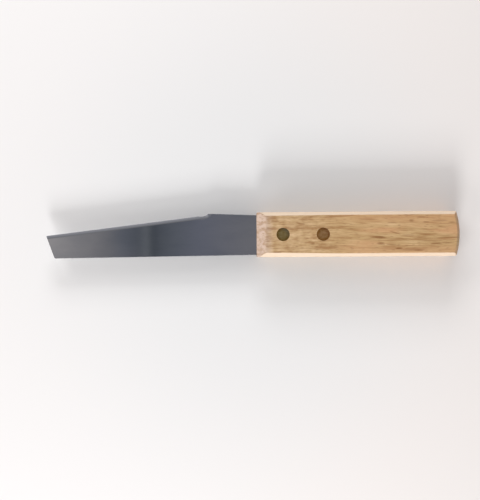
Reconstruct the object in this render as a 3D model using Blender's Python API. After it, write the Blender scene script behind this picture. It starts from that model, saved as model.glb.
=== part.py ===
"""Trimming knife: a ground steel blade whose tang sits in a sawn slot in a one-piece
hardwood handle, held there by two compression rivets.

The knife lies flat. X runs from the tip (-X) to the butt (+X), Y runs from the blunt spine (-Y)
to the cutting edge (+Y), and Z is the thickness. The origin is under the middle of the knife, on
the surface that it lies on. Lengths are in metres and angles in degrees.

Every piece is modelled from the neck: the point on the handle's centre line, halfway through the
thickness, where the blade enters the wood.
"""

import math

import bmesh
import bpy
from mathutils import Vector

# Handle
HANDLE_LENGTH = 0.1016
HANDLE_WIDTH = 0.0225
HANDLE_THICKNESS = 0.012
BUTT_RADIUS = 0.037
EDGE_CHAMFER = 0.0017
NOSE_CHAMFER_LENGTH = 0.0045
NOSE_CHAMFER_DEPTH = 0.003
ARRIS_WIDTH = 0.00035

# Blade: it enters the handle a little inside both of its sides, and widens to the heel's corner.
# The spine falls towards the tip, where it is in line with the handle's side.
BLADE_REACH = 0.1065
BLADE_THICKNESS = 0.0012
NECK_EDGE_INSET = 0.0013
NECK_SPINE_INSET = 0.00115
HEEL_LENGTH = 0.0244
HEEL_RISE = 0.0009
TIP_WIDTH = 0.01145
TIP_RAKE = 20.4
TIP_CORNER_RADIUS = 0.0008

# Ground edge: the wheel takes the stock back from the heel's corner, and digs in where it leaves
EDGE_SETBACK = 0.00065
BEVEL_WIDTH = 0.0016
EDGE_LAND = 0.00012
WHEEL_RADIUS = 0.0053
WHEEL_DIP = 0.0003

# Compression rivets, front to rear: a post driven into a tube, each with its own head
RIVET_NAMES = ("front", "rear")
RIVET_SETBACK = 0.0131
RIVET_PITCH = 0.02
HEAD_DIAMETER = 0.0065
HEAD_THICKNESS = 0.0012
HEAD_SINK = 0.0001
HEAD_RIM = 0.0002
POST_DIAMETER = 0.0021
POST_END_CLEARANCE = 0.0018
TUBE_WALL = 0.0007
LEAD_IN = 0.0003

# Tang behind the last rivet, and the saw that cuts its slot
TANG_TAIL = 0.0129
TANG_CORNER_RADIUS = 0.003
SAW_RADIUS = 0.06

# Gap between a piece and its seat
FIT_GAP = 0.00025

# How finely round forms are drawn, and which angles count as an edge
RIVET_SIDES = 40
WHEEL_SIDES = 72
ARC_STEPS = 14
CORNER_STEPS = 5
ARRIS_SEGMENTS = 2
ARRIS_ANGLE = 25.0
SMOOTH_ANGLE = 30.0

NECK_X = (BLADE_REACH - HANDLE_LENGTH) / 2
HANDLE_SIDE = HANDLE_WIDTH / 2
HALF_HANDLE = HANDLE_THICKNESS / 2
HALF_BLADE = BLADE_THICKNESS / 2
RIVET_PLACES = {name: RIVET_SETBACK + RIVET_PITCH * i for i, name in enumerate(RIVET_NAMES)}
TANG_LENGTH = max(RIVET_PLACES.values()) + TANG_TAIL
HEAD_FACE = HALF_HANDLE - HEAD_SINK
HEAD_SEAT = HEAD_FACE - HEAD_THICKNESS
TUBE_BORE = POST_DIAMETER + 2 * FIT_GAP
TUBE_DIAMETER = TUBE_BORE + 2 * TUBE_WALL
RIVET_HOLE = TUBE_DIAMETER + 2 * FIT_GAP
OVERRUN = HALF_HANDLE


def clear_scene():
    for obj in list(bpy.data.objects):
        bpy.data.objects.remove(obj)


def material(name, colour, roughness, metallic):
    made = bpy.data.materials.new(name)
    made.use_nodes = True
    shader = made.node_tree.nodes["Principled BSDF"]
    shader.inputs["Base Color"].default_value = (*colour, 1.0)
    shader.inputs["Roughness"].default_value = roughness
    shader.inputs["Metallic"].default_value = metallic
    return made


def placed(name, mesh, neck, x):
    """An object with its origin on the knife's centre line, x behind the neck."""
    obj = bpy.data.objects.new(name, mesh)
    bpy.context.scene.collection.objects.link(obj)
    obj.parent = neck
    obj.location.x = x
    return obj


def piece(name, mesh, finish, neck, x=0.0):
    mesh.shade_smooth()
    mesh.set_sharp_from_angle(angle=math.radians(SMOOTH_ANGLE))
    if not mesh.materials:
        mesh.materials.append(finish)
    return placed(name, mesh, neck, x)


def cutter(name, mesh, neck, x=0.0):
    obj = placed(name, mesh, neck, x)
    obj.hide_render = True
    obj.display_type = "WIRE"
    return obj


def cut(target, tool):
    modifier = target.modifiers.new("cut by " + tool.name, "BOOLEAN")
    modifier.operation = "DIFFERENCE"
    modifier.object = tool


def mesh_from(name, shape):
    bmesh.ops.recalc_face_normals(shape, faces=shape.faces)
    mesh = bpy.data.meshes.new(name)
    shape.to_mesh(mesh)
    shape.free()
    return mesh


def lofted(name, loops):
    """Joins closed loops of equally many points, and caps the first and the last."""
    shape = bmesh.new()
    rings = [[shape.verts.new(point) for point in loop] for loop in loops]
    count = len(rings[0])
    for lower, upper in zip(rings, rings[1:]):
        for i in range(count):
            j = (i + 1) % count
            shape.faces.new((lower[i], lower[j], upper[j], upper[i]))
    shape.faces.new(rings[0])
    shape.faces.new(rings[-1])
    return mesh_from(name, shape)


def extruded(name, outline, half_height):
    """A plate of that outline, centred on the blade's middle plane."""
    return lofted(name, [[(x, y, z) for x, y in outline] for z in (-half_height, half_height)])


def turned(name, profile, sides):
    """Turns a profile of (radius, z) points, which starts and ends on the axis, about Z."""
    shape = bmesh.new()
    points = [shape.verts.new((radius, 0.0, z)) for radius, z in profile]
    lines = [shape.edges.new(pair) for pair in zip(points, points[1:])]
    bmesh.ops.spin(
        shape,
        geom=points + lines,
        cent=(0, 0, 0),
        axis=(0, 0, 1),
        angle=math.tau,
        steps=sides,
        use_merge=True,
    )
    bmesh.ops.remove_doubles(shape, verts=shape.verts, dist=FIT_GAP / 100)
    return mesh_from(name, shape)


def meeting(start, direction, other_start, other_direction):
    """The point where two lines of the plan cross."""
    along = (other_start - start).cross(other_direction) / direction.cross(other_direction)
    return start + direction * along


def swung(arm, angle):
    """The arm turned anticlockwise by that angle, in radians."""
    cosine = math.cos(angle)
    sine = math.sin(angle)
    return Vector((arm.x * cosine - arm.y * sine, arm.x * sine + arm.y * cosine))


def rounded(corners):
    """An outline from (point, radius) corners, with an arc at each corner that has a radius."""
    outline = []
    for i, (corner, radius) in enumerate(corners):
        if radius == 0:
            outline.append(corner)
            continue
        before = (corners[i - 1][0] - corner).normalized()
        after = (corners[(i + 1) % len(corners)][0] - corner).normalized()
        half_angle = before.angle(after) / 2
        centre = corner + (before + after).normalized() * (radius / math.sin(half_angle))
        arm = corner + before * (radius / math.tan(half_angle)) - centre
        turn = math.copysign(math.pi - 2 * half_angle, after.cross(before))
        steps = range(CORNER_STEPS + 1)
        outline += [centre + swung(arm, turn * step / CORNER_STEPS) for step in steps]
    return outline


def arc_across(end_x, radius, half_width):
    """Points of an arc that bulges towards +X up to end_x, from -Y to +Y."""
    half_angle = math.asin(half_width / radius)
    angles = [half_angle * (2 * step / ARC_STEPS - 1) for step in range(ARC_STEPS + 1)]
    return [(end_x + radius * (math.cos(a) - 1), radius * math.sin(a)) for a in angles]


class BladePlan:
    """The blade's lines, seen from above. The neck is at (0, 0), and the tip is towards -X."""

    def __init__(self):
        rake = math.radians(TIP_RAKE)
        self.tip_direction = Vector((math.sin(rake), -math.cos(rake)))
        self.tip = Vector((-BLADE_REACH, TIP_WIDTH - HANDLE_SIDE))
        self.tip_spine = self.tip + self.tip_direction * (TIP_WIDTH / math.cos(rake))
        self.neck_edge = HANDLE_SIDE - NECK_EDGE_INSET
        self.neck_spine = NECK_SPINE_INSET - HANDLE_SIDE
        self.heel = Vector((-HEEL_LENGTH, self.neck_edge + HEEL_RISE))
        chord = self.heel - self.tip
        angle = math.atan2(chord.y, chord.x) - math.asin(EDGE_SETBACK / chord.length)
        self.edge_direction = Vector((math.cos(angle), math.sin(angle)))
        self.inward = Vector((self.edge_direction.y, -self.edge_direction.x))

    def spine_at(self, x):
        slope = (self.neck_spine - self.tip_spine.y) / -self.tip_spine.x
        return self.neck_spine + slope * x

    def heel_line_at(self, x):
        return self.neck_edge - HEEL_RISE / HEEL_LENGTH * x

    def tang_half_width(self):
        return max(self.heel_line_at(TANG_LENGTH), -self.spine_at(TANG_LENGTH))

    def outline(self):
        """The blade's outline before grinding, when its stock still reaches the heel's line."""
        stock_tip = meeting(self.heel, self.edge_direction, self.tip, self.tip_direction)
        return rounded(
            [
                (self.tip_spine, TIP_CORNER_RADIUS),
                (Vector((TANG_LENGTH, self.spine_at(TANG_LENGTH))), TANG_CORNER_RADIUS),
                (Vector((TANG_LENGTH, self.heel_line_at(TANG_LENGTH))), TANG_CORNER_RADIUS),
                (self.heel, 0),
                (stock_tip, 0),
            ]
        )

    def wheel_centre(self):
        """Where the wheel stands when it leaves the edge, with its rim through the heel's corner."""
        outside = WHEEL_RADIUS - WHEEL_DIP - EDGE_SETBACK
        back = math.sqrt(WHEEL_RADIUS**2 - outside**2)
        return self.heel - self.edge_direction * back - self.inward * outside


def bevel_section():
    """The two bevels and the land between them, as (depth into the blade, z) points."""
    half_land = EDGE_LAND / 2
    height = BLADE_THICKNESS
    depth = BEVEL_WIDTH * (height - half_land) / (HALF_BLADE - half_land)
    return [(depth, -height), (0.0, -half_land), (0.0, half_land), (depth, height)]


def grind_bar(plan):
    """The straight part of the grind, from past the tip to the place where the wheel leaves."""
    section = bevel_section()
    height = section[-1][1]
    closed = [(-OVERRUN, -height), *section, (-OVERRUN, height)]
    wheel_along = (plan.wheel_centre() - plan.tip).dot(plan.edge_direction)
    loops = []
    for along in (-OVERRUN, wheel_along):
        base = plan.tip + plan.edge_direction * along
        loops.append([(*(base + plan.inward * depth), z) for depth, z in closed])
    return lofted("grind_bar", loops)


def grind_wheel():
    """The end of the grind, as the grooved wheel that makes it."""
    section = bevel_section()
    height = section[-1][1]
    rim = [(WHEEL_RADIUS + depth, z) for depth, z in section]
    return turned("grind_wheel", [(0.0, -height), *rim, (0.0, height)], WHEEL_SIDES)


def tang_hole():
    radius = RIVET_HOLE / 2
    end = HALF_BLADE + OVERRUN
    return turned("tang_hole", [(0, -end), (radius, -end), (radius, end), (0, end)], RIVET_SIDES)


def make_blade(plan, neck, finish):
    blade = piece("blade", extruded("blade", plan.outline(), HALF_BLADE), finish, neck)
    cut(blade, cutter("grind_bar", grind_bar(plan), neck))
    wheel = cutter("grind_wheel", grind_wheel(), neck)
    wheel.location.xy = plan.wheel_centre()
    cut(blade, wheel)
    hole = tang_hole()
    for name, x in RIVET_PLACES.items():
        cut(blade, cutter(f"{name}_tang_hole", hole, neck, x))


def handle_outline(depth):
    """The handle's outline at a depth below its broad face, drawn in by the chamfers."""
    side = max(0.0, EDGE_CHAMFER - depth)
    nose = NOSE_CHAMFER_LENGTH * max(0.0, 1 - depth / NOSE_CHAMFER_DEPTH)
    half_width = HANDLE_SIDE - side
    butt = arc_across(HANDLE_LENGTH - side, BUTT_RADIUS - side, half_width)
    return [(nose, half_width), (nose, -half_width), *butt]


def handle_block():
    heights = {HALF_HANDLE - depth for depth in (0.0, EDGE_CHAMFER, NOSE_CHAMFER_DEPTH)}
    levels = sorted(heights | {-height for height in heights})
    outlines = {z: handle_outline(HALF_HANDLE - abs(z)) for z in levels}
    return lofted("handle", [[(x, y, z) for x, y in outlines[z]] for z in levels])


def saw_cut(plan):
    """The slot for the tang: its end is the arc of the saw, clear of the tang's corners."""
    half_width = HANDLE_SIDE + OVERRUN
    bulge = SAW_RADIUS - math.sqrt(SAW_RADIUS**2 - plan.tang_half_width() ** 2)
    end = arc_across(TANG_LENGTH + bulge + FIT_GAP, SAW_RADIUS, half_width)
    outline = [(-OVERRUN, half_width), (-OVERRUN, -half_width), *end]
    return extruded("saw_cut", outline, HALF_BLADE + FIT_GAP)


def rivet_hole():
    """A bore for the tube, with a counterbore at each face for a head."""
    end = HALF_HANDLE + OVERRUN
    seat = HEAD_SEAT - FIT_GAP
    bore = RIVET_HOLE / 2
    wide = HEAD_DIAMETER / 2 + FIT_GAP
    lower = [(0, -end), (wide, -end), (wide, -seat), (bore, -seat)]
    upper = [(radius, -z) for radius, z in reversed(lower)]
    return turned("rivet_hole", lower + upper, RIVET_SIDES)


def make_handle(plan, neck, finish):
    handle = piece("handle", handle_block(), finish, neck)
    arris = handle.modifiers.new("softened arrises", "BEVEL")
    arris.width = ARRIS_WIDTH
    arris.segments = ARRIS_SEGMENTS
    arris.limit_method = "ANGLE"
    arris.angle_limit = math.radians(ARRIS_ANGLE)
    cut(handle, cutter("saw_cut", saw_cut(plan), neck))
    hole = rivet_hole()
    for name, x in RIVET_PLACES.items():
        cut(handle, cutter(f"{name}_rivet_hole", hole, neck, x))


def head_profile():
    """A rivet's lower head, from the middle of its face to its seat, as (radius, z) points."""
    radius = HEAD_DIAMETER / 2
    return [
        (0, -HEAD_FACE),
        (radius - HEAD_RIM, -HEAD_FACE),
        (radius, HEAD_RIM - HEAD_FACE),
        (radius, -HEAD_SEAT),
    ]


def tube_profile():
    """The lower half of a rivet. Its mouth reaches up to the other half's head."""
    outer = TUBE_DIAMETER / 2
    bore = TUBE_BORE / 2
    mouth = HEAD_SEAT - FIT_GAP
    return [
        *head_profile(),
        (outer, -HEAD_SEAT),
        (outer, mouth),
        (bore + LEAD_IN, mouth),
        (bore, mouth - LEAD_IN),
        (bore, -HEAD_SEAT),
        (0, -HEAD_SEAT),
    ]


def post_profile():
    """The upper half of a rivet. Its post ends short of the bottom of the tube."""
    radius = POST_DIAMETER / 2
    end = POST_END_CLEARANCE - HEAD_SEAT
    head = [(r, -z) for r, z in head_profile()]
    return [*head, (radius, HEAD_SEAT), (radius, end + LEAD_IN), (radius - LEAD_IN, end), (0, end)]


def make_rivets(neck, finish):
    tube = turned("rivet_tube", tube_profile(), RIVET_SIDES)
    post = turned("rivet_post", post_profile(), RIVET_SIDES)
    for name, x in RIVET_PLACES.items():
        piece(f"{name}_rivet_tube", tube, finish, neck, x)
        piece(f"{name}_rivet_post", post, finish, neck, x)


def build():
    clear_scene()
    steel = material("satin_steel", (0.34, 0.35, 0.38), 0.38, 1.0)
    wood = material("sanded_hardwood", (0.50, 0.33, 0.17), 0.6, 0.0)
    brass = material("dull_brass", (0.42, 0.29, 0.12), 0.4, 1.0)
    neck = bpy.data.objects.new("neck", None)
    bpy.context.scene.collection.objects.link(neck)
    neck.location = (NECK_X, 0.0, HALF_HANDLE)
    plan = BladePlan()
    make_blade(plan, neck, steel)
    make_handle(plan, neck, wood)
    make_rivets(neck, brass)


build()
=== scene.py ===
"""Looks of the trimming knife: fine meshes with procedural finishes, on a pale floor in soft light.

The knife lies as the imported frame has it: X runs from the tip to the butt, Y from the spine to the
cutting edge, and Z is up. Lengths are in metres, and patterns in the finishes are in millimetres.
"""

import logging
import math
from collections.abc import Callable
from dataclasses import dataclass, fields
from enum import Enum
from typing import Any, Union

import bmesh
import bpy
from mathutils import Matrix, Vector


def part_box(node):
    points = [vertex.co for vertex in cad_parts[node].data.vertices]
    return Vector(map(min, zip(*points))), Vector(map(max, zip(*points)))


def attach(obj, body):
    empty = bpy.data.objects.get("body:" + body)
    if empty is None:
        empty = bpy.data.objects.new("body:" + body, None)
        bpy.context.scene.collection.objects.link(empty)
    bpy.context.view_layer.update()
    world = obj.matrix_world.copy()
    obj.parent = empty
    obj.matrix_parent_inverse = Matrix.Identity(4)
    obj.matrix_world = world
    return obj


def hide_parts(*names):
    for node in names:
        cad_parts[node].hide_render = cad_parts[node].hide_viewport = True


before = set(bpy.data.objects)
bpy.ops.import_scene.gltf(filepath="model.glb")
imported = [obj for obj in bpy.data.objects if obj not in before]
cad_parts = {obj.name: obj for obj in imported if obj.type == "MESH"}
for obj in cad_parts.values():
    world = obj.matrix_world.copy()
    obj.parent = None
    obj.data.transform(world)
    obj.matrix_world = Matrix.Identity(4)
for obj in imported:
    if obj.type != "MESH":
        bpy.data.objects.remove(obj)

LOG = logging.getLogger("trimming_knife")
MM = 0.001
SEAM = 0.001 * MM
DOUBLE = 0.0005 * MM
BODY = "root"
SOCKETS = {
    float: "NodeSocketFloat",
    int: "NodeSocketInt",
    Vector: "NodeSocketVector",
    bpy.types.Material: "NodeSocketMaterial",
}

Colour = tuple[float, float, float]
Span = tuple[float, float]
Profile = list[tuple[float, float]]
Inputs = dict[Any, Any]
Value = Union["Field", float]
Place = tuple["Field", "Field", "Field"]


class Graph:
    """A node tree that is filled from code."""

    def __init__(self, tree: bpy.types.NodeTree) -> None:
        """Wraps the tree that is to be filled."""
        self.tree = tree

    def node(self, kind: str, inputs: Inputs | None = None, **settings: Any) -> bpy.types.Node:
        """Adds a node.

        Args:
            kind: The node's type name in Blender.
            inputs: What feeds its sockets, by name or index: fields, or plain values.
            **settings: The node's own properties.

        Returns:
            The new node.
        """
        made = self.tree.nodes.new(kind)
        for name, value in settings.items():
            setattr(made, name, value)
        for key, value in (inputs or {}).items():
            self.feed(made.inputs[key], value)
        return made

    def feed(self, socket: bpy.types.NodeSocket, value: Any) -> None:
        """Links a field to a socket, or sets a plain value on it.

        Args:
            socket: The input socket.
            value: A field or a plain value.
        """
        if isinstance(value, Field):
            self.tree.links.new(value.socket, socket)
        else:
            socket.default_value = value

    def field(self, kind: str, inputs: Inputs | None = None, output: Any = 0, **settings: Any) -> "Field":
        """Adds a node, as node() does, and gives the output of that name or index."""
        return Field(self, self.node(kind, inputs, **settings).outputs[output])

    def math(self, operation: str, *values: Value) -> "Field":
        """Adds a Math node for an operation on fields and numbers, and gives its result."""
        return self.field("ShaderNodeMath", dict(enumerate(values)), operation=operation)

    def vector(self, x: Value, y: Value, z: Value) -> "Field":
        """Joins three numbers into a vector."""
        return self.field("ShaderNodeCombineXYZ", {0: x, 1: y, 2: z})

    def parts(self, vector: "Field") -> Place:
        """Splits a vector into its X, Y and Z."""
        split = self.node("ShaderNodeSeparateXYZ", {0: vector})
        return tuple(Field(self, output) for output in split.outputs)

    def mix(self, factor: Value, first: Any, second: Any) -> "Field":
        """Mixes two colours, each a field or a tuple, by a factor from 0 to 1."""
        inputs = {0: factor, 6: opaque(first), 7: opaque(second)}
        return self.field("ShaderNodeMix", inputs, output=2, data_type="RGBA")

    def in_cells(self, place: Place, cell: Span) -> "Field":
        """Counts a place in cells, which have a length along X and a width along Y and Z."""
        length, width = cell
        return self.vector(place[0] / length, place[1] / width, place[2] / width)

    def noise(self, place: Place, cell: Span, detail: float = 1.0, roughness: float = 0.5) -> "Field":
        """Reads smooth noise, from 0 to 1, in cells, with finer layers by its detail and roughness."""
        inputs = {"Vector": self.in_cells(place, cell), "Scale": 1.0}
        return self.field("ShaderNodeTexNoise", inputs | {"Detail": detail, "Roughness": roughness})

    def seen(self) -> "Field":
        """Finds what the camera sees, straight or in a reflection.

        Returns:
            1 for what is seen, and 0 for the light that falls on a surface.
        """
        path = self.node("ShaderNodeLightPath")
        kinds = ("Is Camera Ray", "Is Glossy Ray", "Is Transmission Ray")
        straight, mirrored, through = (Field(self, path.outputs[kind]) for kind in kinds)
        return straight.most(mirrored).most(through)


def arithmetic(operation: str, swapped: bool = False) -> Callable[..., "Field"]:
    """Makes a method that adds a Math node to a field's tree.

    Args:
        operation: The node's operation.
        swapped: Whether the field comes after the other value, as on the right of a number.

    Returns:
        The method. It takes the other values, and gives the node's result.
    """

    def method(field: "Field", *others: Value) -> "Field":
        """Adds the node."""
        values = (*others, field) if swapped else (field, *others)
        return field.graph.math(operation, *values)

    return method


@dataclass(frozen=True)
class Field:
    """A value in a node tree. Arithmetic on it adds Math nodes.

    least and most take the smaller or larger of two, blended_least goes smoothly from one to the other
    where they come within a width, size drops the sign, and sine and cosine take radians.
    """

    graph: Graph
    socket: bpy.types.NodeSocket

    __add__ = arithmetic("ADD")
    __radd__ = arithmetic("ADD", swapped=True)
    __sub__ = arithmetic("SUBTRACT")
    __rsub__ = arithmetic("SUBTRACT", swapped=True)
    __mul__ = arithmetic("MULTIPLY")
    __truediv__ = arithmetic("DIVIDE")
    least = arithmetic("MINIMUM")
    most = arithmetic("MAXIMUM")
    blended_least = arithmetic("SMOOTH_MIN")
    root = arithmetic("SQRT")
    size = arithmetic("ABSOLUTE")
    whole = arithmetic("FLOOR")
    fraction = arithmetic("FRACT")
    sine = arithmetic("SINE")
    cosine = arithmetic("COSINE")

    def rise(self, low: Value, high: Value) -> "Field":
        """Goes smoothly from 0 at low to 1 at high, or down to low where low is the larger."""
        inputs = {"Value": self, "From Min": low, "From Max": high}
        return self.graph.field("ShaderNodeMapRange", inputs, interpolation_type="SMOOTHSTEP")


def opaque(colour: Any) -> Any:
    """Gives a colour tuple its alpha, and leaves a field as it is."""
    return colour if isinstance(colour, Field) else (*colour, 1.0)


class Surface(Graph):
    """A material on one Principled shader, with its patterns on object coordinates."""

    def __init__(self, name: str, **constants: Any) -> None:
        """Starts a material.

        Args:
            name: The material's name.
            **constants: Values that are the same all over, by socket name with _ for a space.
        """
        self.material = bpy.data.materials.new(name)
        self.material.use_nodes = True
        super().__init__(self.material.node_tree)
        self.shader = self.tree.nodes["Principled BSDF"]
        self.set(**constants)

    def place(self) -> Place:
        """Gives the X, Y and Z of the object coordinates, in millimetres."""
        inputs = {0: self.field("ShaderNodeTexCoord", output="Object"), "Scale": 1 / MM}
        return self.parts(self.field("ShaderNodeVectorMath", inputs, operation="SCALE"))

    def normal(self) -> Place:
        """Gives the X, Y and Z of the surface's normal, before any bump."""
        return self.parts(self.field("ShaderNodeNewGeometry", output="Normal"))

    def set(self, **values: Any) -> None:
        """Gives the shader fields or plain values, by socket name with _ for a space."""
        for socket, value in values.items():
            self.feed(self.shader.inputs[socket.replace("_", " ")], value)

    def bump(self, height: Field, depth: float, strength: float) -> None:
        """Lets a height from 0 to 1 tilt the surface, by its depth in metres and a strength."""
        inputs = {"Height": height, "Distance": depth, "Strength": strength}
        self.set(Normal=self.field("ShaderNodeBump", inputs))


class Shape(Graph):
    """A Geometry Nodes tree with named inputs."""

    def __init__(self, name: str, inputs: dict[str, type]) -> None:
        """Starts a tree.

        Args:
            name: The tree's name.
            inputs: Each input's name and the type of its value.
        """
        super().__init__(bpy.data.node_groups.new(name, "GeometryNodeTree"))
        face = self.tree.interface
        for way in ("OUTPUT", "INPUT"):
            face.new_socket("Geometry", in_out=way, socket_type="NodeSocketGeometry")
        for label, kind in inputs.items():
            face.new_socket(label, in_out="INPUT", socket_type=SOCKETS[kind])
        self.source = self.node("NodeGroupInput")

    def __getitem__(self, label: str) -> Field:
        """Gives one of the tree's inputs."""
        return Field(self, self.source.outputs[label])

    def place(self) -> Place:
        """Gives the X, Y and Z of the point that is being placed."""
        return self.parts(self.field("GeometryNodeInputPosition"))

    def moved(self, geometry: Field, way: Field) -> Field:
        """Moves geometry along a vector."""
        return self.field("GeometryNodeTransform", {"Geometry": geometry, "Translation": way})

    def end(self, geometry: Field) -> None:
        """Ends the tree in plain faces that carry the tree's Finish input.

        Args:
            geometry: What the tree has made.
        """
        real = self.field("GeometryNodeRealizeInstances", {"Geometry": geometry})
        inputs = {"Geometry": real, "Material": self["Finish"]}
        self.node("NodeGroupOutput", {"Geometry": self.field("GeometryNodeSetMaterial", inputs)})

    def run(self, piece: bpy.types.Object, values: dict[str, Any]) -> None:
        """Shapes an object with the tree, and leaves the result as its plain mesh.

        Args:
            piece: The object, whose own mesh is the tree's Geometry input.
            values: The values of the tree's inputs, by name.
        """
        modifier = piece.modifiers.new("shape", "NODES")
        modifier.node_group = self.tree
        for item in self.tree.interface.items_tree:
            if item.in_out == "INPUT" and item.name in values:
                modifier[item.identifier] = values[item.name]
        settle(piece)


def new_object(name: str, data: bpy.types.ID) -> bpy.types.Object:
    """Puts a mesh, a lamp or a camera in the scene.

    Args:
        name: The object's name.
        data: What it shows. A mesh has its points in place already.

    Returns:
        The object, at the origin.
    """
    made = bpy.data.objects.new(name, data)
    bpy.context.scene.collection.objects.link(made)
    return made


def settle(piece: bpy.types.Object) -> None:
    """Makes what an object's modifiers show its plain mesh, and removes them.

    Args:
        piece: The object.
    """
    graph = bpy.context.evaluated_depsgraph_get()
    mesh = bpy.data.meshes.new_from_object(piece.evaluated_get(graph), depsgraph=graph)
    piece.modifiers.clear()
    piece.data = mesh


def tidy(piece: bpy.types.Object, sharp_angle: float) -> None:
    """Merges doubles, turns faces outwards and shades a piece smooth.

    Args:
        piece: The piece.
        sharp_angle: The angle in degrees from which an edge stays sharp.
    """
    shape = bmesh.new()
    shape.from_mesh(piece.data)
    bmesh.ops.remove_doubles(shape, verts=shape.verts, dist=DOUBLE)
    bmesh.ops.recalc_face_normals(shape, faces=shape.faces)
    shape.to_mesh(piece.data)
    shape.free()
    piece.data.shade_smooth()
    piece.data.set_sharp_from_angle(angle=math.radians(sharp_angle))


def mesh_of(name: str, shape: bmesh.types.BMesh) -> bpy.types.Mesh:
    """Turns a bmesh into a mesh with its faces outwards.

    Args:
        name: The mesh's name.
        shape: The bmesh, which is freed.

    Returns:
        The mesh.
    """
    bmesh.ops.recalc_face_normals(shape, faces=shape.faces)
    mesh = bpy.data.meshes.new(name)
    shape.to_mesh(mesh)
    shape.free()
    return mesh


def lofted(loops: list[list[Vector]]) -> bmesh.types.BMesh:
    """Joins closed loops of equally many points, and caps the first and the last.

    Args:
        loops: The loops, in order.

    Returns:
        The closed shape.
    """
    shape = bmesh.new()
    rings = [[shape.verts.new(point) for point in loop] for loop in loops]
    count = len(rings[0])
    for lower, upper in zip(rings, rings[1:]):
        for i in range(count):
            j = (i + 1) % count
            shape.faces.new((lower[i], lower[j], upper[j], upper[i]))
    shape.faces.new(rings[0])
    shape.faces.new(rings[-1])
    return shape


def cut(piece: bpy.types.Object, tools: list[bpy.types.Mesh]) -> None:
    """Cuts meshes out of a piece, one after the other.

    Args:
        piece: The object that is cut.
        tools: The closed meshes to take away.
    """
    helpers = [new_object(f"cutter_{i}", mesh) for i, mesh in enumerate(tools)]
    for helper in helpers:
        modifier = piece.modifiers.new("cut", "BOOLEAN")
        modifier.operation = "DIFFERENCE"
        modifier.solver = "MANIFOLD"
        modifier.object = helper
    settle(piece)
    for helper in helpers:
        bpy.data.objects.remove(helper)


def present(piece: bpy.types.Object, node: str) -> None:
    """Rides a finished piece on the knife in place of its CAD node, and reports it.

    Args:
        piece: The finished piece.
        node: The CAD node that it stands for.
    """
    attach(piece, BODY)
    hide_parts(node)
    LOG.info("%s: %d faces", piece.name, len(piece.data.polygons))


@dataclass(frozen=True)
class GrainDash:
    """A dark run of pores on the handle's upper face, in millimetres from the nose and the centre line."""

    along: float
    across: float
    length: float
    width: float
    depth: float
    slope: float = 0.0


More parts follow.
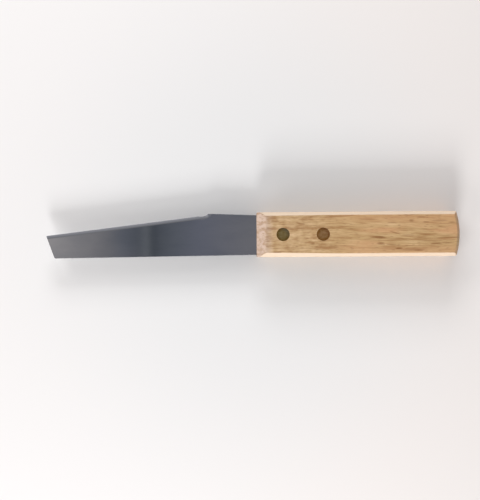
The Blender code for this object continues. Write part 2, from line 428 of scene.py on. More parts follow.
@dataclass(frozen=True)
class HardwoodFinish:
    """Sanded hardwood with straight grain along X, as a solid pattern that also shows on the ends.

    A cell is a pattern's length along the grain and its width across it. Spans of tone go from dark to
    pale, those along the handle count from its nose, and the sides' counts from the centre line.
    """

    pale: Colour = (0.655, 0.45, 0.242)
    middle: Colour = (0.515, 0.332, 0.154)
    deep: Colour = (0.345, 0.18, 0.068)
    blush: Colour = (0.6, 0.33, 0.165)
    pore: Colour = (0.22, 0.088, 0.024)
    sanded: Colour = (0.565, 0.43, 0.355)
    scuffed: Colour = (0.42, 0.285, 0.2)
    # painted highlight on the long chamfers, partly edge wear
    edge: Colour = (0.73, 0.58, 0.44)
    roughness: float = 0.48
    relief: float = 0.06 * MM
    deep_tones: Span = (0.33, 0.5)
    pale_tones: Span = (0.49, 0.66)
    grain_share: float = 0.62
    fibre_share: float = 0.26
    patch_share: float = 0.12
    mottle_share: float = 0.4
    ring_share: float = 0.07
    sway: float = 5.0
    sway_cell: Span = (55.0, 16.0)
    grain_cell: Span = (13.0, 1.15)
    fibre_cell: Span = (10.0, 0.3)
    patch_cell: Span = (30.0, 5.0)
    blotch_cell: Span = (3.2, 1.7)
    calm_cell: Span = (17.0, 4.0)
    pore_cell: Span = (3.4, 0.45)
    cluster_cell: Span = (26.0, 2.4)
    drift_cell: Span = (90.0, 20.0)
    mottled: Span = (50.0, 25.0)
    blushing: Span = (25.0, 65.0)
    blushing_sides: Span = (3.5, 8.0)
    sanded_end: Span = (9.5, 2.5)
    sanded_run: Span = (50.0, 10.0)
    heart_y: float = 46.0
    heart_z: float = -52.0
    ring: float = 3.1
    dashes: tuple[GrainDash, ...] = (
        GrainDash(60.0, -1.6, 7.6, 1.1, 0.85, -0.05),
        GrainDash(61.7, -4.8, 4.0, 1.0, 0.75),
        GrainDash(67.2, -5.3, 5.0, 0.8, 0.45),
        GrainDash(70.7, -7.2, 3.6, 0.9, 0.85),
        GrainDash(77.2, -8.0, 11.0, 1.0, 0.5),
        GrainDash(89.4, -4.9, 5.8, 0.9, 0.75),
        GrainDash(86.7, -3.6, 10.0, 0.5, 0.5),
        GrainDash(95.2, -2.0, 11.0, 0.8, 0.5),
        GrainDash(71.0, -2.7, 10.0, 0.6, 0.5),
        GrainDash(68.3, 0.7, 5.6, 0.8, 0.55, -0.3),
        GrainDash(74.9, -0.8, 6.4, 0.9, 0.35),
        GrainDash(77.0, 6.5, 2.6, 1.1, 0.6),
        GrainDash(82.0, 8.2, 4.5, 0.8, 0.45),
        GrainDash(84.4, 5.7, 3.4, 0.8, 0.5),
        GrainDash(67.5, 5.6, 4.5, 0.8, 0.4),
        GrainDash(97.0, 5.6, 3.4, 1.0, 0.5),
        GrainDash(94.5, -4.6, 6.0, 0.7, 0.5),
        GrainDash(80.5, -8.2, 5.0, 0.9, 0.7),
        GrainDash(55.4, 7.1, 9.0, 0.8, 0.4),
        GrainDash(91.5, 6.4, 7.5, 0.8, 0.45),
        GrainDash(21.9, 5.3, 4.0, 0.8, 0.6, -0.12),
        GrainDash(22.2, 3.0, 3.0, 0.9, 0.35),
        GrainDash(27.8, -4.6, 2.4, 1.3, 0.55),
        GrainDash(38.4, -6.5, 5.0, 0.7, 0.4),
        GrainDash(10.2, -8.9, 4.4, 0.8, 0.7),
        GrainDash(9.1, 6.5, 3.8, 1.1, 0.5),
    )

    def make(self, origin: Vector) -> bpy.types.Material:
        """Makes the material.

        Args:
            origin: The middle of the nose's end on the handle's centre line.

        Returns:
            The material.
        """
        surface = Surface("sanded_hardwood", IOR=1.5, Coat_Weight=0.2, Coat_Roughness=0.35)
        x, y, z = surface.place()
        x = x - origin.x / MM
        z = z - origin.z / MM
        wander = surface.noise((x, y, z), self.sway_cell) - 0.5
        run = (x, y + wander * self.sway, z)
        grain = surface.noise(run, self.grain_cell, 3.0, 0.62)
        fibre = surface.noise(run, self.fibre_cell, 3.0, 0.6)
        patch = surface.noise(run, self.patch_cell)
        blotch = surface.noise(run, self.blotch_cell, 1.8)
        calm = surface.noise(run, self.calm_cell).rise(0.3, 0.6) * 0.6 + 0.5
        fine = fibre.rise(0.25, 0.75)
        tone = ((grain - 0.5) * calm + 0.5) * self.grain_share
        tone = tone + fine * self.fibre_share + patch * self.patch_share
        tone = tone + (blotch - 0.5) * x.rise(*self.mottled) * self.mottle_share
        tone = tone - self.rings(surface, run) * self.ring_share
        wood = surface.mix(tone.rise(*self.deep_tones), self.deep, self.middle)
        wood = surface.mix(tone.rise(*self.pale_tones), wood, self.pale)
        sides = run[1].size().rise(*self.blushing_sides)
        ruddy = (patch.rise(0.42, 0.66) * 0.7).most(sides * 0.45)
        wood = surface.mix(ruddy * x.rise(*self.blushing), wood, self.blush)
        nose = surface.mix(blotch.rise(0.36, 0.6), self.scuffed, self.sanded)
        rubbed = x.rise(*self.sanded_end) * 0.8 + x.rise(*self.sanded_run) * 0.12
        wood = surface.mix(rubbed, wood, nose)
        pores = self.pores(surface, run)
        dashes = self.dark_dashes((x, y, z), fine)
        wood = surface.mix((pores * 0.5).most(dashes), wood, self.pore)
        # painted highlight: the long chamfers, found by their normal, are made paler, partly as edge wear
        wood = surface.mix(self.worn_and_lit_chamfers(surface, fibre), wood, self.edge)
        surface.set(Base_Color=wood, Roughness=self.roughness + fibre * 0.16 - 0.08)
        surface.bump(fibre * 0.5 - pores, self.relief, 0.6)
        return surface.material

    def rings(self, surface: Surface, run: Place) -> Field:
        """Draws the dark late wood of the growth rings.

        Args:
            surface: The material that is being made.
            run: The place along the wandering grain.

        Returns:
            The rings, 1 in the late wood.
        """
        from_y = run[1] - self.heart_y
        from_z = run[2] - self.heart_z
        drift = surface.noise(run, self.drift_cell) * 1.2
        turns = (from_y * from_y + from_z * from_z).root() / self.ring + drift
        phase = turns.fraction()
        return phase.rise(0.45, 0.92) * phase.rise(1.0, 0.92)

    def pores(self, surface: Surface, run: Place) -> Field:
        """Scatters short pores, which show as dashes along the grain and as dots across it.

        Args:
            surface: The material that is being made.
            run: The place along the wandering grain.

        Returns:
            The pores, 1 in a pore.
        """
        inputs = {"Vector": surface.in_cells(run, self.pore_cell), "Scale": 1.0}
        cells = surface.node("ShaderNodeTexVoronoi", inputs)
        near = Field(surface, cells.outputs["Distance"])
        chance = surface.parts(Field(surface, cells.outputs["Color"]))[0]
        cluster = surface.noise(run, self.cluster_cell)
        return near.rise(0.36, 0.12) * (chance + cluster).rise(1.05, 1.25)

    def dark_dashes(self, place: Place, fine: Field) -> Field:
        """Draws the dark runs of pores on the upper face.

        Args:
            place: The place from the middle of the nose's end.
            fine: Noise that frays the runs.

        Returns:
            The runs, up to each one's depth.
        """
        x, y, z = place
        frayed = (0.5 - fine) * 2.0
        found: Value = 0.0
        for dash in self.dashes:
            run = x - dash.along
            along = run / (dash.length / 2)
            across = (y - dash.across - run * dash.slope) / (dash.width / 2)
            reach = along * along + across * across
            found = ((reach + frayed).rise(1.5, 0.1) * dash.depth).most(found)
        return found * z.rise(2.0, 4.0)

    def worn_and_lit_chamfers(self, surface: Surface, fibre: Field) -> Field:
        """Finds the long chamfers, which are painted paler: a painted highlight of the light from the
        sides, partly edge wear.

        Args:
            surface: The material that is being made.
            fibre: Noise that makes the paler colour uneven.

        Returns:
            The chamfers, up to 1.
        """
        _, ny, nz = surface.normal()
        bevel = nz.size().rise(0.97, 0.86) * nz.size().rise(0.3, 0.55)
        return (bevel * ny.size().rise(0.3, 0.6) * (0.8 + fibre * 0.3)).least(1.0)


@dataclass(frozen=True)
class SteelFinish:
    """Satin steel with fine lengthwise marks, and a bevel with cross marks, whose colour carries a painted
    highlight that is brightest at its edge.
    """

    base: Colour = (0.335, 0.345, 0.37)
    smudge: Colour = (0.29, 0.305, 0.335)
    mark: Colour = (0.42, 0.43, 0.46)
    ground: Colour = (0.31, 0.316, 0.335)
    # painted highlight: the bevel's colour at its edge, brighter than the ground steel
    honed: Colour = (0.65, 0.66, 0.695)
    roughness: float = 0.085
    relief: float = 0.006 * MM
    line_cell: Span = (9.0, 0.09)
    cloud_cell: Span = (24.0, 11.0)
    hatch_cell: Span = (0.1, 6.0)
    bevel_blur: float = 0.06
    heel_blur: float = 0.5

    def make(self, plan: "Blade") -> bpy.types.Material:
        """Makes the material.

        Args:
            plan: The blade, for the place of its ground edge.

        Returns:
            The material.
        """
        surface = Surface("satin_steel", Metallic=1.0, Anisotropic=1.0)
        x, y, z = surface.place()
        lines = surface.noise((x, y, z), self.line_cell, 3.0, 0.7)
        cloud = surface.noise((x, y, z), self.cloud_cell, 3.0)
        inward = plan.inward()
        width = plan.bevel_width / MM
        heel = plan.heel_x / MM
        depth = (x - plan.tip.x / MM) * inward.x + (y - plan.tip.y / MM) * inward.y
        along = y * inward.x - x * inward.y
        hatch = surface.noise((along, depth, z), self.hatch_cell, 2.0, 0.7)
        bevel = depth.rise(width + self.bevel_blur, width - self.bevel_blur)
        bevel = bevel * x.rise(heel + self.heel_blur, heel - self.heel_blur)
        steel = surface.mix(cloud.rise(0.35, 0.7), self.base, self.smudge)
        steel = surface.mix(lines.rise(0.3, 0.8) * 0.25, steel, self.mark)
        # painted highlight: the bevel's colour brightens from its inner line to the edge
        bevel_with_highlight = surface.mix(depth / width, self.honed, self.ground)
        surface.set(Base_Color=surface.mix(bevel, steel, bevel_with_highlight))
        across = surface.field("ShaderNodeTangent", direction_type="RADIAL", axis="X")
        surface.set(Roughness=self.roughness + cloud * 0.02 + lines * 0.01, Tangent=across)
        surface.bump(lines * (1 - bevel) * 0.12 + hatch * bevel * 1.5, self.relief, 0.5)
        return surface.material


class Patina(Enum):
    """How the brass of a rivet has weathered: the colour of its face, and of the tarnish on one side."""

    OLIVE = ((0.325, 0.252, 0.113), (0.2, 0.195, 0.14))
    BROWN = ((0.475, 0.28, 0.128), (0.3, 0.14, 0.065))


@dataclass(frozen=True)
class BrassFinish:
    """Dull brass, sanded flush with the wood, with painted shade that darkens it towards its rim, partly
    browner patina, and tarnished on one side.
    """

    patina: Patina
    rim_shade: Colour = (0.66, 0.52, 0.28)
    scratch_gain: float = 1.6
    scratch_cell: Span = (2.6, 0.12)
    scratch_rise: float = 0.3
    stain_cell: Span = (1.7, 1.7)
    roughness: float = 0.36
    relief: float = 0.012 * MM

    def make(self, axis_x: float, radius: float) -> bpy.types.Material:
        """Makes the material.

        Args:
            axis_x: Where the rivet's axis stands along the knife.
            radius: The radius of the rivet's head.

        Returns:
            The material.
        """
        surface = Surface(f"{self.patina.name.lower()}_brass", Metallic=1.0)
        x, y, z = surface.place()
        from_x = x - axis_x / MM
        reach = (from_x * from_x + y * y).root() / (radius / MM)
        scratches = surface.noise((x, y, z * self.scratch_rise), self.scratch_cell, 3.0, 0.7)
        scratches = scratches.rise(0.3, 0.7)
        stain = surface.noise((x, y, z), self.stain_cell, 3.0)
        face, tarnish = self.patina.value
        brown = tuple(channel * shade for channel, shade in zip(face, self.rim_shade))
        bright = tuple(channel * self.scratch_gain for channel in face)
        # painted shade: the head darkens towards its rim as if shaded by the gap round it, partly browner
        # patina; stains add to it
        rim_shade_and_stain = reach.rise(0.45, 0.9) * 0.85 + stain.rise(0.38, 0.62) * 0.4
        brass = surface.mix(rim_shade_and_stain.least(1.0), face, brown)
        one_side = (from_x + y + stain * 3).rise(1.5, 6.0) * reach.rise(0.2, 0.8)
        brass = surface.mix(one_side * 0.7, brass, tarnish)
        brass = surface.mix(scratches.rise(0.55, 1.0) * 0.35, brass, bright)
        brass = surface.mix(scratches.rise(0.45, 0.0) * 0.5, brass, brown)
        surface.set(Base_Color=brass, Roughness=self.roughness + stain * 0.16 + scratches * 0.08)
        surface.bump(scratches, self.relief, 0.6)
        return surface.material


class HandleShape(Shape):
    """The tree that shapes the handle's block from its sizes, and cuts the slot and the rivet holes."""

    def __init__(self, inputs: dict[str, type]) -> None:
        """Builds the tree.

        Args:
            inputs: The handle's sizes, its place and its finish, by name, and the type of each.
        """
        super().__init__("slotted_handle", inputs)
        method = {"operation": "DIFFERENCE", "solver": "MANIFOLD"}
        boolean = self.node("GeometryNodeMeshBoolean", {"Mesh 1": self.block()}, **method)
        for tool in (self.saw_cut(), *self.rivet_holes()):
            self.feed(boolean.inputs["Mesh 2"], tool)
        self.end(self.moved(Field(self, boolean.outputs["Mesh"]), self["Place"]))

    def block(self) -> Field:
        """Shapes the closed block: a grid at the height of the chamfers, its walls and their mirror image.

        Returns:
            The block's geometry.
        """
        counts = {"Size X": 1.0, "Size Y": 1.0, "Vertices X": self["Rows"], "Vertices Y": self["Columns"]}
        grid = self.field("GeometryNodeMeshGrid", counts)
        upper = self.field("GeometryNodeSetPosition", {"Geometry": grid, "Position": self.upper_face()})
        rim = 2.0 - self.field("GeometryNodeInputMeshEdgeNeighbors")
        grown = {"Mesh": upper, "Selection": rim, "Offset Scale": 0.0}
        walls = self.node("GeometryNodeExtrudeMesh", grown, mode="EDGES")
        x, y, _ = self.place()
        sunk = {
            "Geometry": Field(self, walls.outputs["Mesh"]),
            "Selection": Field(self, walls.outputs["Top"]),
            "Position": self.vector(x, y, 0.0),
        }
        half = self.field("GeometryNodeSetPosition", sunk)
        mirrored = self.field("GeometryNodeTransform", {"Geometry": half, "Scale": (1.0, 1.0, -1.0)})
        both = self.node("GeometryNodeJoinGeometry")
        for part in (half, self.field("GeometryNodeFlipFaces", {"Mesh": mirrored})):
            self.feed(both.inputs["Geometry"], part)
        joined = {"Geometry": Field(self, both.outputs["Geometry"]), "Distance": SEAM}
        return self.field("GeometryNodeMergeByDistance", joined)

    def upper_face(self) -> Field:
        """Works out where the grid's points lie on the upper half, from the handle's middle plane.

        Returns:
            The points' positions.
        """
        half_width = self["Half width"]
        radius = self["Butt radius"]
        grid_x, grid_y, _ = self.place()
        share = 0.5 - ((grid_x + 0.5) * math.pi).cosine() * 0.5
        spread = (grid_y * math.pi).sine()
        y_plain = spread * half_width
        end = self["Length"] - radius + (radius * radius - y_plain * y_plain).root()
        x = end * share
        reach = half_width - self.quarter_round(x.least(end - x), self["Corner"])
        y = spread * reach
        from_side = reach - y.size()
        from_centre = (x - self["Length"] + radius).most(0.0)
        from_butt = radius - (from_centre * from_centre + y * y).root()
        top = self["Half thickness"]
        wall = top - self["Edge chamfer"]
        nose = top - self["Nose depth"] + x * self["Nose depth"] / self["Nose length"]
        to_spine = (1 - spread) * 0.5
        uneven = self["Edge share"] + to_spine * (1 - self["Edge share"])
        worn = wall - self["Extra chamfer"] * x.rise(self["Extra start"], self["Nose length"]) * uneven
        height = top
        for face in (worn + from_side, wall + from_butt, nose):
            height = height.blended_least(face, self["Soft line"])
        inside = from_side.least(from_butt).least(x)
        return self.vector(x, y, height - self.quarter_round(inside, self["Arris"]))

    def quarter_round(self, inside: Field, radius: Field) -> Field:
        """Works out how far a round draws an edge in: its radius there, and 0 from that far inside."""
        arm = radius - inside.most(0.0).least(radius)
        return radius - (radius * radius - arm * arm).most(0.0).root()

    def saw_cut(self) -> Field:
        """Makes the saw's disc, which cuts the slot for the tang.

        Returns:
            The disc's geometry.
        """
        radius = self["Saw radius"]
        width = self["Tang thickness"] + self["Slot room"] * 2.0
        disc = {"Vertices": self["Saw sides"], "Radius": radius, "Depth": width}
        saw = self.field("GeometryNodeMeshCylinder", disc)
        return self.moved(saw, self.vector(self["Slot end"] - radius, 0.0, 0.0))

    def rivet_holes(self) -> list[Field]:
        """Makes the bores and the counterbores at both faces, at each rivet's place.

        Returns:
            The geometry of the bores, of the upper counterbores and of the lower ones.
        """
        height = self["Half thickness"]
        middle = self["Head seat"] + height * 0.5
        head_radius = self["Head radius"] + self["Slot room"]
        line = {
            "Count": self["Rivet count"],
            "Start Location": self.vector(self["First rivet"], 0.0, 0.0),
            "Offset": self.vector(self["Rivet pitch"], 0.0, 0.0),
        }
        points = self.field("GeometryNodeMeshLine", line)
        bores = (
            (self["Tube radius"] + self["Slot room"], height * 3.0, 0.0),
            (head_radius, height, middle),
            (head_radius, height, 0.0 - middle),
        )
        holes = []
        for radius, depth, lift in bores:
            drill_bit = {"Vertices": self["Drill sides"], "Radius": radius, "Depth": depth}
            tool = self.field("GeometryNodeMeshCylinder", drill_bit)
            placed = {"Points": points, "Instance": self.moved(tool, self.vector(0.0, 0.0, lift))}
            copies = self.field("GeometryNodeInstanceOnPoints", placed)
            holes.append(self.field("GeometryNodeRealizeInstances", {"Geometry": copies}))
        return holes


@dataclass
class Handle:
    """The slotted hardwood handle, whose long chamfers grow towards the nose, most beside the spine."""

    node: str = "handle"
    slot: str = "handle_wood"
    edge_chamfer: float = 1.7 * MM
    extra_chamfer: float = 0.55 * MM
    extra_start: float = 45.0 * MM
    edge_share: float = 0.35
    nose_length: float = 4.5 * MM
    nose_depth: float = 3.0 * MM
    butt_radius: float = 37.0 * MM
    arris: float = 0.28 * MM
    soft_line: float = 0.5 * MM
    corner: float = 0.5 * MM
    saw_radius: float = 60.0 * MM
    slot_room: float = 0.04 * MM
    rows: int = 220
    columns: int = 97
    saw_sides: int = 360
    drill_sides: int = 96
    finish: HardwoodFinish = HardwoodFinish()

    def __post_init__(self) -> None:
        """Takes the handle's place and overall sizes from the frame."""
        self.low, self.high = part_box(self.node)
        self.nose = Vector((self.low.x, 0.0, (self.low.z + self.high.z) / 2))

    def own_sizes(self) -> dict[str, Any]:
        """Gives the lengths and counts among the fields, by their names in plain words."""
        own = {item.name: getattr(self, item.name) for item in fields(self) if item.type in SOCKETS}
        return {name.replace("_", " ").capitalize(): value for name, value in own.items()}

    def build(self, blade: "Blade", rivets: list["Rivet"]) -> bpy.types.Object:
        """Builds and dresses the handle.

        Args:
            blade: The blade, whose tang the slot holds.
            rivets: The rivets, front to rear.

        Returns:
            The finished piece.
        """
        size = self.high - self.low
        first = rivets[0]
        values = self.own_sizes() | {
            "Length": size.x,
            "Half width": size.y / 2,
            "Half thickness": size.z / 2,
            "Slot end": blade.slot_end(self.saw_radius) - self.nose.x,
            "Tang thickness": blade.thickness,
            "Rivet count": len(rivets),
            "First rivet": first.axis_x - self.nose.x,
            "Rivet pitch": rivets[1].axis_x - first.axis_x,
            "Head radius": first.head_radius,
            "Head seat": first.head_seat - self.nose.z,
            "Tube radius": first.tube_radius,
            "Place": self.nose,
            "Finish": self.finish.make(self.nose),
        }
        piece = new_object("wood_handle", bpy.data.meshes.new("wood_handle"))
        HandleShape({label: type(value) for label, value in values.items()}).run(piece, values)
        tidy(piece, sharp_angle=40)
        present(piece, self.node)
        return piece


def ring(centre: Vector, radius: float, z: float, sides: int) -> list[Vector]:
    """Gives the points of a level circle, whose centre is seen from above."""
    angles = [math.tau * i / sides for i in range(sides)]
    return [Vector((centre.x + radius * math.cos(a), centre.y + radius * math.sin(a), z)) for a in angles]


def rounded(corners: list[tuple[Vector, float]], steps: int = 10) -> list[Vector]:
    """Draws an outline with an arc at each corner that has a radius.

    Args:
        corners: Each corner's point and radius.
        steps: How many parts an arc has.

    Returns:
        The outline's points.
    """
    outline = []
    for i, (corner, radius) in enumerate(corners):
        if radius == 0.0:
            outline.append(corner)
            continue
        before = (corners[i - 1][0] - corner).normalized()
        after = (corners[(i + 1) % len(corners)][0] - corner).normalized()
        half = before.angle(after) / 2
        centre = corner + (before + after).normalized() * (radius / math.sin(half))
        arm = corner + before * (radius / math.tan(half)) - centre
        start = math.atan2(arm.y, arm.x)
        turn = math.copysign(math.pi - 2 * half, after.cross(before))
        for step in range(steps + 1):
            angle = start + turn * step / steps
            outline.append(centre + Vector((math.cos(angle), math.sin(angle))) * radius)
    return outline


@dataclass
class Blade:
    """The ground blade and its tang."""

    node: str = "blade"
    slot: str = "blade_steel"
    neck_edge: float = 9.95 * MM
    neck_spine: float = -10.1 * MM
    heel_length: float = 24.4 * MM
    heel_rise: float = 0.9 * MM
    tip_width: float = 11.45 * MM
    tip_rake: float = 20.4
    tip_corner: float = 0.8 * MM
    tang_corner: float = 3.0 * MM
    edge_setback: float = 0.65 * MM
    bevel_width: float = 1.6 * MM
    edge_land: float = 0.06 * MM
    wheel_radius: float = 5.3 * MM
    wheel_dip: float = 0.3 * MM
    wheel_sides: int = 240
    drill_sides: int = 64
    eased: float = 0.07 * MM
    overrun: float = 6.0 * MM
    finish: SteelFinish = SteelFinish()

    def __post_init__(self) -> None:
        """Takes the blade's place and overall sizes from the frame."""
        low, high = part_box(self.node)
        self.neck_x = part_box("handle")[0].x
        self.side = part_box("handle")[1].y
        self.tang_x = high.x
        self.thickness = high.z - low.z
        self.middle = (high.z + low.z) / 2
        self.heel_x = self.neck_x - self.heel_length
        self.tip = Vector((low.x, self.tip_width - self.side))
        self.heel = Vector((self.heel_x, self.neck_edge + self.heel_rise))

    def edge_direction(self) -> Vector:
        """Works out the ground edge's direction.

        Returns:
            The direction from the tip to the heel, of length 1.
        """
        chord = self.heel - self.tip
        angle = math.atan2(chord.y, chord.x) - math.asin(self.edge_setback / chord.length)
        return Vector((math.cos(angle), math.sin(angle)))

    def inward(self) -> Vector:
        """Gives the direction from the ground edge into the blade."""
        along = self.edge_direction()
        return Vector((along.y, -along.x))

    def slot_end(self, saw_radius: float) -> float:
        """Works out the X where a saw's cut ends, so that it clears the tang's corners."""
        half = max(abs(corner.y) for corner in self.tang_end())
        return self.tang_x + saw_radius - math.sqrt(saw_radius**2 - half**2)

    def tang_end(self) -> list[Vector]:
        """Finds the end of the tang, in line with the blade's heel and spine.

        Returns:
            Its two corners, spine first.
        """
        run = self.tang_x - self.neck_x
        fall = (self.side + self.neck_spine) / (self.neck_x - self.spine_tip().x)
        lower = self.neck_spine + fall * run
        upper = self.neck_edge - self.heel_rise / self.heel_length * run
        return [Vector((self.tang_x, lower)), Vector((self.tang_x, upper))]

    def tip_direction(self) -> Vector:
        """Gives the direction of the raked tip, from the edge to the spine."""
        rake = math.radians(self.tip_rake)
        return Vector((math.sin(rake), -math.cos(rake)))

    def spine_tip(self) -> Vector:
        """Gives the tip's corner at the spine."""
        return self.tip + self.tip_direction() * (self.tip_width / math.cos(math.radians(self.tip_rake)))

    def build(self, rivets: list["Rivet"]) -> bpy.types.Object:
        """Builds and dresses the blade.

        Args:
            rivets: The rivets that pass through the tang.

        Returns:
            The finished piece.
        """
        levels = (self.middle - self.thickness / 2, self.middle + self.thickness / 2)
        outline = self.outline()
        plate = lofted([[point.to_3d() + Vector((0, 0, z)) for point in outline] for z in levels])
        rims = [edge for edge in plate.edges if abs(edge.verts[0].co.z - edge.verts[1].co.z) < self.eased]
        bmesh.ops.bevel(plate, geom=rims, offset=self.eased, segments=2, profile=0.5, affect="EDGES")
        piece = new_object("ground_blade", mesh_of("ground_blade", plate))
        cut(piece, [self.grind_bar(), self.grind_wheel(), *(self.drill(rivet) for rivet in rivets)])
        tidy(piece, sharp_angle=12)
        piece.data.materials.clear()
        piece.data.materials.append(self.finish.make(self))
        present(piece, self.node)
        return piece

    def outline(self) -> list[Vector]:
        """Draws the blade's outline before grinding, in line with the heel.

        Returns:
            The outline's points, seen from above.
        """
        along = self.edge_direction()
        rake = self.tip_direction()
        back = (self.tip - self.heel).cross(rake) / along.cross(rake)
        lower, upper = self.tang_end()
        return rounded(
            [
                (self.spine_tip(), self.tip_corner),
                (lower, self.tang_corner),
                (upper, self.tang_corner),
                (self.heel, 0.0),
                (self.heel + along * back, 0.0),
            ]
        )

    def section(self) -> Profile:
        """Draws the two bevels and the land between them.

        Returns:
            Points of depth into the blade and height.
        """
        land = self.edge_land / 2
        height = self.thickness
        depth = self.bevel_width * (height - land) / (self.thickness / 2 - land)
        return [(depth, -height), (0.0, -land), (0.0, land), (depth, height)]

    def wheel_centre(self) -> Vector:
        """Finds where the wheel stands when its rim passes through the heel's corner.

        Returns:
            The wheel's centre, seen from above.
        """
        outside = self.wheel_radius - self.wheel_dip - self.edge_setback
        back = math.sqrt(self.wheel_radius**2 - outside**2)
        return self.heel - self.edge_direction() * back - self.inward() * outside

    def grind_bar(self) -> bpy.types.Mesh:
        """Makes the straight part of the grind, from past the tip to the wheel.

        Returns:
            The closed mesh to take away.
        """
        along = self.edge_direction()
        height = self.thickness
        closed = [(-self.overrun, -height), *self.section(), (-self.overrun, height)]
        loops = []
        for run in (-self.overrun, (self.wheel_centre() - self.tip).dot(along)):
            base = self.tip + along * run
            points = [(base + self.inward() * depth, z) for depth, z in closed]
            loops.append([Vector((point.x, point.y, self.middle + z)) for point, z in points])
        return mesh_of("grind_bar", lofted(loops))

    def grind_wheel(self) -> bpy.types.Mesh:
        """Makes the end of the grind, as the grooved wheel that leaves it.

        Returns:
            The closed mesh to take away.
        """
        centre = self.wheel_centre()
        profile = [(self.wheel_radius + depth, self.middle + z) for depth, z in self.section()]
        loops = [ring(centre, radius, z, self.wheel_sides) for radius, z in profile]
        return mesh_of("grind_wheel", lofted(loops))

    def drill(self, rivet: "Rivet") -> bpy.types.Mesh:
        """Makes the hole for a rivet in the tang.

        Args:
            rivet: The rivet.

        Returns:
            The closed mesh to take away.
        """
        axis = Vector((rivet.axis_x, 0.0))
        radius = rivet.tube_radius + self.eased
        levels = (self.middle - self.overrun / 2, self.middle + self.overrun / 2)
        return mesh_of("drill", lofted([ring(axis, radius, z, self.drill_sides) for z in levels]))


class RivetHalf(Enum):
    """The two halves of a compression rivet."""

    POST = "post"
    TUBE = "tube"


@dataclass
class Rivet:
    """A compression rivet: a post with a head above, driven into a tube with a head below."""

    name: str
    patina: Patina
    slot: str = "rivet_brass"
    head_thickness: float = 1.2 * MM
    rim: float = 0.18 * MM
    crown: float = 0.05 * MM
    post_radius: float = 1.05 * MM
    bore_radius: float = 1.12 * MM
    tube_radius: float = 2.0 * MM
    lead_in: float = 0.3 * MM
    steps: int = 6
    sides: int = 96

    def __post_init__(self) -> None:
        """Takes the rivet's place and overall sizes from the frame."""
        self.low, tube_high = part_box(self.node(RivetHalf.TUBE))
        post_low, self.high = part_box(self.node(RivetHalf.POST))
        self.mouth = tube_high.z
        self.post_end = post_low.z
        self.axis_x = (self.low.x + self.high.x) / 2
        self.head_radius = (self.high.x - self.low.x) / 2
        self.head_seat = self.high.z - self.head_thickness

    def node(self, half: RivetHalf) -> str:
        """Gives the CAD node of one half."""
        return f"{self.name}_rivet_{half.value}"

    def build(self, lathe: "Lathe") -> list[bpy.types.Object]:
        """Builds and dresses both halves.

        Args:
            lathe: The tree that turns a profile.

        Returns:
            The finished pieces.
        """
        finish = BrassFinish(self.patina).make(self.axis_x, self.head_radius)
        place = Vector((self.axis_x, 0.0, 0.0))
        profiles = {RivetHalf.POST: self.post_profile(), RivetHalf.TUBE: self.tube_profile()}
        pieces = []
        for half, profile in profiles.items():
            mesh = bpy.data.meshes.new(f"{self.name}_{half.value}")
            points = [(radius, 0.0, z) for radius, z in profile]
            mesh.from_pydata(points, [(i, i + 1) for i in range(len(points) - 1)], [])
            piece = new_object(f"brass_{self.name}_{half.value}", mesh)
            lathe.run(piece, {"Sides": self.sides, "Place": place, "Finish": finish})
            tidy(piece, sharp_angle=35)
            present(piece, self.node(half))
            pieces.append(piece)
        return pieces

    def head(self, face: float, outward: float) -> Profile:
        """Draws a head from the middle of its face to its seat.

        Args:
            face: The height of the face.
            outward: 1 for a face that looks up, or -1 for one that looks down.

        Returns:
            Points of radius and height.
        """
        flat = self.head_radius - self.rim
        shares = [i / self.steps for i in range(self.steps + 1)]
        crowned = [(flat * share, self.crown * share**2) for share in shares]
        turns = [math.pi / 2 * share for share in shares[1:]]
        edge = [(flat + self.rim * math.sin(a), self.crown + self.rim * (1 - math.cos(a))) for a in turns]
        drops = [*crowned, *edge, (self.head_radius, self.head_thickness)]
        return [(radius, face - outward * drop) for radius, drop in drops]

    def post_profile(self) -> Profile:
        """Draws the upper half, from the middle of its face to the end of the post.

        Returns:
            Points of radius and height.
        """
        stem = [
            (self.post_radius, self.head_seat),
            (self.post_radius, self.post_end + self.lead_in),
            (self.post_radius - self.lead_in, self.post_end),
            (0.0, self.post_end),
        ]
        return [*self.head(self.high.z, 1.0), *stem]

    def tube_profile(self) -> Profile:
        """Draws the lower half, from the middle of its face to the bottom of the bore.

        Returns:
            Points of radius and height.
        """
        floor = self.low.z + self.head_thickness
        stem = [
            (self.tube_radius, floor),
            (self.tube_radius, self.mouth),
            (self.bore_radius + self.lead_in, self.mouth),
            (self.bore_radius, self.mouth - self.lead_in),
            (self.bore_radius, floor),
            (0.0, floor),
        ]
        return [*self.head(self.low.z, -1.0), *stem]


class Lathe(Shape):
    """The tree that turns a profile about its Z axis and stands it at a place.

    Its geometry is a line of points, whose X is the radius.
    """

    def __init__(self) -> None:
        """Builds the tree."""
        super().__init__("lathe", {"Sides": int, "Place": Vector, "Finish": bpy.types.Material})
        profile = self["Geometry"]
        columns = self["Sides"] + 1.0
        count = self.field("GeometryNodeAttributeDomainSize", {"Geometry": profile}, component="MESH")
        sheet = {"Size X": 1.0, "Size Y": 1.0, "Vertices X": count, "Vertices Y": columns}
        grid = self.field("GeometryNodeMeshGrid", sheet)
        index = self.field("GeometryNodeInputIndex")
        row = ((index + 0.5) / columns).whole()
        turn = (index - row * columns) * math.tau / self["Sides"]
        sample = {"Geometry": profile, "Value": self.field("GeometryNodeInputPosition"), "Index": row}
        point = self.field("GeometryNodeSampleIndex", sample, data_type="FLOAT_VECTOR", domain="POINT")
        radius, _, height = self.parts(point)
        turned = self.vector(radius * turn.cosine(), radius * turn.sine(), height)
        skin = self.field("GeometryNodeSetPosition", {"Geometry": grid, "Position": turned})
        closed = self.field("GeometryNodeMergeByDistance", {"Geometry": skin, "Distance": SEAM})
        where = self.field("GeometryNodeMeshLine", {"Count": 1, "Start Location": self["Place"]})
        self.end(self.field("GeometryNodeInstanceOnPoints", {"Points": where, "Instance": closed}))


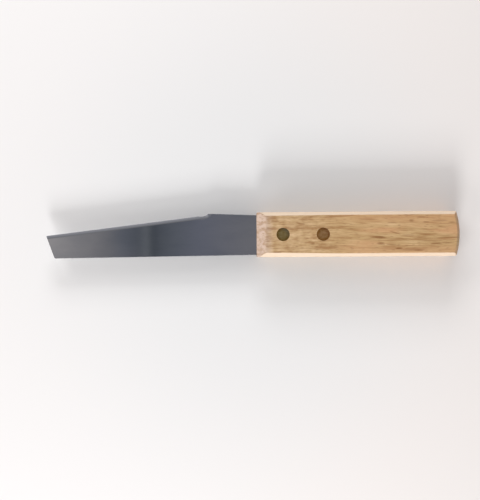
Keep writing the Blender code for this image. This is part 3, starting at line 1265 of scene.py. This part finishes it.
@dataclass(frozen=True)
class SoftBox:
    """A soft area lamp that faces the knife."""

    name: str
    azimuth: float
    elevation: float
    distance: float
    width: float
    height: float
    power: float

    def build(self) -> None:
        """Sets up the lamp."""
        lamp = bpy.data.lights.new(self.name, "AREA")
        lamp.shape = "RECTANGLE"
        lamp.size = self.width
        lamp.size_y = self.height
        lamp.energy = self.power
        made = new_object(self.name, lamp)
        azimuth = math.radians(self.azimuth)
        elevation = math.radians(self.elevation)
        level = math.cos(elevation)
        away = Vector((level * math.cos(azimuth), level * math.sin(azimuth), math.sin(elevation)))
        made.location = away * self.distance
        made.rotation_euler = away.to_track_quat("Z", "Y").to_euler()
        made.visible_camera = False
        made.visible_glossy = False


@dataclass(frozen=True)
class PhotoCamera:
    """A camera straight above the knife, in the photograph's frame of 480 by 500 pixels."""

    photo_width: int = 480
    height: float = 332.0 * MM
    face_height: float = 12.0 * MM
    face_pixel: float = 0.4976 * MM
    x: float = -5.97 * MM
    y: float = -7.58 * MM
    roll: float = -0.4
    sensor: float = 36.0
    clip_start: float = 10.0 * MM

    def build(self) -> None:
        """Sets up the camera and makes it the scene's."""
        data = bpy.data.cameras.new("photo_camera")
        data.sensor_fit = "HORIZONTAL"
        data.sensor_width = self.sensor
        focal_pixels = (self.height - self.face_height) / self.face_pixel
        data.lens = self.sensor * focal_pixels / self.photo_width
        data.clip_start = self.clip_start
        made = new_object("photo_camera", data)
        made.location = (self.x, self.y, self.height)
        made.rotation_euler = (0.0, 0.0, math.radians(self.roll))
        bpy.context.scene.camera = made


@dataclass(frozen=True)
class Tent:
    """The light tent: pale low walls, a dim zone above them, and a ceiling that is paler past the tip.

    Where the camera or a reflection looks past the floor, a pale backdrop stands in for the walls. Spans
    and the ceiling's places are parts of a direction of length 1: its Z, its Y and its X.
    """

    wall: float = 0.4
    wall_x: float = -0.1
    wall_y: float = -0.3
    wall_top: Span = (0.25, 0.45)
    dim: float = 0.05
    ceiling_start: Span = (0.6, 0.75)
    backdrop: Colour = (0.86, 0.845, 0.84)
    backdrop_top: Span = (0.15, 0.75)
    flank: Colour = (0.4, 0.4, 0.42)
    flank_start: Span = (0.3, 0.5)
    ceiling: tuple[tuple[float, Colour], ...] = (
        (-0.5, (1.1, 1.07, 1.07)),
        (-0.28, (0.73, 0.68, 0.655)),
        (-0.2, (0.383, 0.373, 0.383)),
        (-0.18, (0.285, 0.297, 0.335)),
        (-0.153, (0.198, 0.212, 0.237)),
        (-0.1435, (0.37, 0.383, 0.397)),
        (-0.1345, (0.085, 0.1, 0.12)),
        (-0.125, (0.2, 0.215, 0.24)),
        (-0.1, (0.247, 0.264, 0.298)),
        (-0.06, (0.302, 0.312, 0.37)),
        (0.02, (0.38, 0.37, 0.385)),
        (0.5, (0.42, 0.41, 0.4)),
    )

    def build(self) -> None:
        """Sets up the world."""
        world = bpy.data.worlds.new("light_tent")
        world.use_nodes = True
        bpy.context.scene.world = world
        graph = Graph(world.node_tree)
        x, y, z = graph.parts(graph.field("ShaderNodeTexCoord", output="Generated"))
        ramp = graph.node("ShaderNodeValToRGB", {"Fac": x + 0.5})
        stops = ramp.color_ramp.elements
        stops.remove(stops[1])
        for place, colour in self.ceiling:
            stops.new(place + 0.5).color = opaque(colour)
        stops.remove(stops[0])
        wall = x * self.wall_x + y * self.wall_y + self.wall
        above = z.rise(*self.wall_top)
        low = (1 - above) * wall + above * self.dim
        high = graph.mix(y.rise(*self.flank_start), Field(graph, ramp.outputs["Color"]), self.flank)
        lit = graph.mix(z.rise(*self.ceiling_start), graph.vector(low, low, low), high)
        shown = graph.mix(z.rise(*self.backdrop_top), self.backdrop, high)
        sky = graph.mix(graph.seen(), lit, shown)
        graph.feed(world.node_tree.nodes["Background"].inputs["Color"], sky)


@dataclass(frozen=True)
class Studio:
    """The pale floor, the light tent round it, the lamps and the camera.

    The floor's tone goes outwards from its middle, where it is painted darker as shade round the knife,
    and from the tip to the butt. Far out it passes into the backdrop. These spans are in millimetres.
    """

    shaded_floor_middle: Colour = (0.76, 0.757, 0.757)
    floor_at_tip: Colour = (0.81, 0.79, 0.783)
    floor_at_butt: Colour = (0.825, 0.785, 0.765)
    floor_roughness: float = 0.85
    floor_size: float = 8.0
    outwards: Span = (30.0, 150.0)
    tip_to_butt: Span = (-60.0, 100.0)
    far_out: Span = (170.0, 450.0)
    tent: Tent = Tent()
    lamps: tuple[SoftBox, ...] = (
        SoftBox("spine_side", 266.0, 21.0, 0.9, 0.25, 0.22, 6.7),
        SoftBox("spine_tip", 225.0, 27.0, 0.9, 0.5, 0.25, 2.1),
        SoftBox("edge_tip", 135.0, 27.0, 0.9, 0.5, 0.25, 2.5),
        SoftBox("edge_side", 94.0, 20.0, 0.9, 0.5, 0.22, 5.1),
    )

    def build(self) -> None:
        """Sets up everything that isn't the knife."""
        self.build_floor()
        self.tent.build()
        for lamp in self.lamps:
            lamp.build()
        PhotoCamera().build()
        bpy.context.scene.view_settings.view_transform = "Standard"

    def build_floor(self) -> None:
        """Lays the floor, which passes into the backdrop far from the knife."""
        shape = bmesh.new()
        bmesh.ops.create_grid(shape, x_segments=1, y_segments=1, size=self.floor_size / 2)
        floor = new_object("floor", mesh_of("floor", shape))
        surface = Surface("pale_floor", Roughness=self.floor_roughness, Specular_IOR_Level=0.0)
        x, y, _ = surface.place()
        radius = (x * x + y * y).root()
        outer = surface.mix(x.rise(*self.tip_to_butt), self.floor_at_tip, self.floor_at_butt)
        # painted shade: the floor is darker near the knife and paler further out
        pale = surface.mix(radius.rise(*self.outwards), self.shaded_floor_middle, outer)
        far = radius.rise(*self.far_out) * surface.seen()
        surface.set(Base_Color=surface.mix(far, pale, (0.0, 0.0, 0.0)))
        surface.set(Emission_Color=opaque(self.tent.backdrop), Emission_Strength=far)
        floor.data.materials.append(surface.material)


def main() -> None:
    """Builds the knife's pieces and the studio, in order."""
    logging.basicConfig(level=logging.INFO, format="%(name)s: %(message)s")
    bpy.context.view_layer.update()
    rivets = [Rivet("front", Patina.OLIVE), Rivet("rear", Patina.BROWN)]
    blade = Blade()
    blade.build(rivets)
    Handle().build(blade, rivets)
    lathe = Lathe()
    for rivet in rivets:
        rivet.build(lathe)
    Studio().build()


if __name__ == "__main__":
    main()
